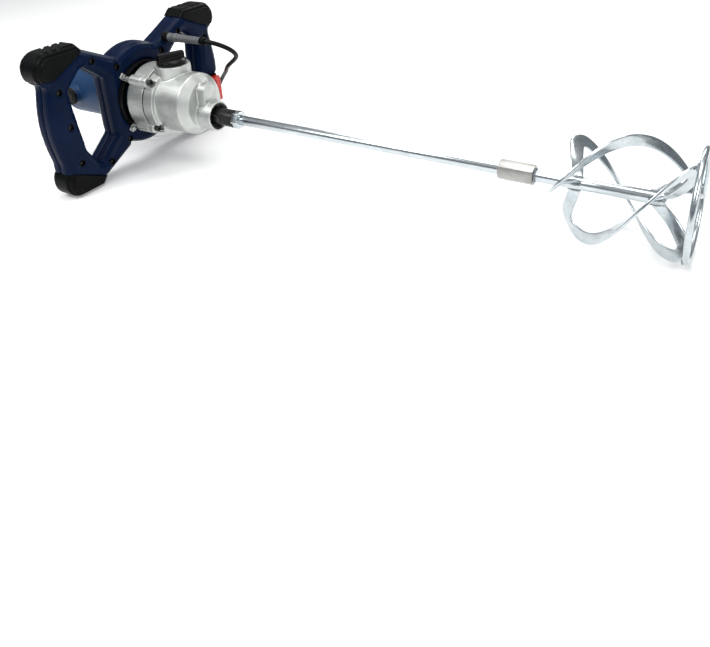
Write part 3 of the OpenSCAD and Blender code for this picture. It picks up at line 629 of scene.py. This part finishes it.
# The wiring channels inside the grips are filled, because their walls are too thin for the grid
CHANNEL_IN, CHANNEL_OUT = 129.5, 154.2
CHANNEL_LOW, CHANNEL_HIGH = RISE - 48.2, RISE + 44.2
SWITCH_TOP = RISE - 13.6
front_fill = (FRAME_MID, FRAME_FRONT - 5.9)
rear_fill = (FRAME_BACK + 5.9, FRAME_MID)
soft_form("frame_half_front", "frame_front", 0.0013 * VOX, 26, late=[from_bm(recesses, "recesses", None)],
          adds=[block(*front_fill, -CHANNEL_OUT, -CHANNEL_IN, CHANNEL_LOW, CHANNEL_HIGH),
                block(*front_fill, CHANNEL_IN, CHANNEL_OUT, SWITCH_TOP, CHANNEL_HIGH)])
soft_form("frame_half_rear", "frame_rear", 0.0015 * VOX, 20, 0.4,
          adds=[block(*rear_fill, -CHANNEL_OUT, -CHANNEL_IN, CHANNEL_LOW, CHANNEL_HIGH),
                block(*rear_fill, CHANNEL_IN, CHANNEL_OUT, CHANNEL_LOW, CHANNEL_HIGH)])
for n in ("switch_top", "switch_bottom", "plain_top", "plain_bottom"):
    soft_form("bumper_" + n, "corner_cap_" + n, 0.0009 * VOX, 6)
soft_form("motor_can", "motor_housing", 0.0012 * VOX, 3, mat="housing_blue")
soft_form("motor_cover", "motor_end_cover", 0.0011 * VOX, 3, mat="housing_blue")
soft_form("gear_case", "gearbox_housing", 0.0008 * VOX, 3)
soft_form("gear_case_plate", "gearbox_plate", 0.0009 * VOX, 3)
soft_form("speed_knob", "selector_knob", 0.0006, 2)
# The bore of the lock button and the window of the trigger are cut again to their exact size
LOCK_AT = (0, 105, RISE - 25)
BORE = [(FRAME_FRONT - 12.6, 6.7), (FRAME_FRONT + 2, 6.7)]
WINDOW = (FRAME_FRONT - 11.4, FRAME_FRONT + 2, 140.1, 155.9, RISE - 62.2, RISE - 14.8)
soft_form("switch_block", "switch_body", 0.0010 * VOX, 4,
          late=[from_bm(lathe(BORE, 40, "x", LOCK_AT), "bore"), block(*WINDOW)])
soft_form("trigger_blade", "trigger", 0.0006 * VOX, 5)
soft_form("lock_pin_button", "lock_button", 0.0004 * VOX, 4, 0.6)

# A black dust shield behind the circlip of the nose, and a dark ring between case and plate that paints the
# shadow line of their joint
SHIELD = [(-6.0, 18.9), (-5.92, 18.9), (-5.92, 12.9), (-5.3, 12.8), (-5.0, 13.4)]
JOINT_SHADOW_RING = [(-97.5, 49), (-97.5, 51.6), (-96.6, 51.6), (-96.6, 49)]
for name, rows, segs, z in (("dust_shield", SHIELD, 96, 0), ("case_joint_shadow_ring", JOINT_SHADOW_RING, 128, RISE)):
    link(name, from_bm(lathe(rows, segs, "x", (0, 0, z)), name), "machine", "black_rubber", smooth=40)


def cap_flute(a, i):
    """Grip notches in the rim of a brush cap."""
    return 1.0 - (0.05 * max(0.0, math.cos(20 * a)) if 2 <= i <= 5 else 0.0)


# Brush caps on both sides of the motor: a notched rim, a round groove and a raised middle
BRUSH_X = -249.0
CAP = [(52.0, 13.4), (52.5, 14.0), (53.2, 14.0), (55.6, 14.0), (56.5, 13.4), (56.9, 12.6), (56.9, 11.4),
       (55.4, 11.0), (55.4, 8.4), (56.2, 8.0), (56.4, 5.0)]
bm = bmesh.new()
for s in (-1, 1):
    part = lathe([(s * y, r) for y, r in CAP], 120, "y", (BRUSH_X, 0, RISE), cap_flute)
    absorb(bm, from_bm(part, "cap", None))
link("brush_cap_ribbed", from_bm(bm, "brush_cap_ribbed"), "machine", "black_plastic", nodes=["brush_caps"],
     smooth=40)

# ---------------------------------------------------------------- floor, light and finish
floor_me = bpy.data.meshes.new("floor")
bm = bmesh.new()
bmesh.ops.create_grid(bm, x_segments=8, y_segments=8, size=9.0)
bm.to_mesh(floor_me)
bm.free()
floor = bpy.data.objects.new("floor", floor_me)
floor.location = (0, 0, -0.0006)
scene.collection.objects.link(floor)
fm, nt, b = node_mat("studio_floor")
tc = nt.nodes.new("ShaderNodeTexCoord").outputs["Object"]
PALE = [(0.3, (0.86, 0.86, 0.86, 1)), (0.7, (0.88, 0.88, 0.88, 1))]
nt.links.new(ramp(nt, noise_tex(nt, tc, 3.0, 3.0), PALE), b.inputs["Base Color"])
b.inputs["Roughness"].default_value = 0.7
b.inputs["Specular IOR Level"].default_value = 0.2
b.inputs["Emission Color"].default_value = (1, 1, 1, 1)
b.inputs["Emission Strength"].default_value = 0.16
floor_me.materials.append(fm)

world = bpy.data.worlds.new("studio")
scene.world = world
world.use_nodes = True
nt = world.node_tree
nt.nodes.clear()
out = nt.nodes.new("ShaderNodeOutputWorld")
bg = nt.nodes.new("ShaderNodeBackground")
tc = nt.nodes.new("ShaderNodeTexCoord")
sep = nt.nodes.new("ShaderNodeSeparateXYZ")
nt.links.new(tc.outputs["Generated"], sep.inputs[0])
nt.links.new(ramp(nt, remap(nt, sep.outputs[2], 0.0, 1.0, -0.2, 1.0),
                  [(0.0, (0.62, 0.64, 0.67, 1)), (0.16, (0.26, 0.29, 0.33, 1)), (0.30, (0.40, 0.43, 0.47, 1)),
                   (0.55, (0.70, 0.72, 0.74, 1)), (1.0, (1, 1, 1, 1))]), bg.inputs[0])
bg.inputs["Strength"].default_value = 0.55
nt.links.new(bg.outputs[0], out.inputs[0])


def area(name, loc, target, size, power, size_y):
    """A soft rectangular lamp that faces target."""
    li = bpy.data.lights.new(name, "AREA")
    li.energy, li.shape, li.size, li.size_y = power, "RECTANGLE", size, size_y
    ob = bpy.data.objects.new(name, li)
    ob.location = loc
    d = Vector(target) - Vector(loc)
    ob.rotation_euler = d.to_track_quat("-Z", "Y").to_euler()
    scene.collection.objects.link(ob)


area("key", (-0.7, -1.1, 1.7), (0, 0, 0.08), 1.1, 26, 0.8)
area("top", (0.1, 0.3, 2.0), (0, 0, 0.05), 1.8, 22, 0.9)
area("side", (1.6, -0.5, 0.9), (0.1, 0, 0.08), 0.8, 10, 0.5)
area("back", (-0.4, 1.6, 1.1), (0, 0, 0.1), 1.4, 12, 0.5)

scene.view_settings.view_transform = "Standard"
scene.view_settings.look = "None"
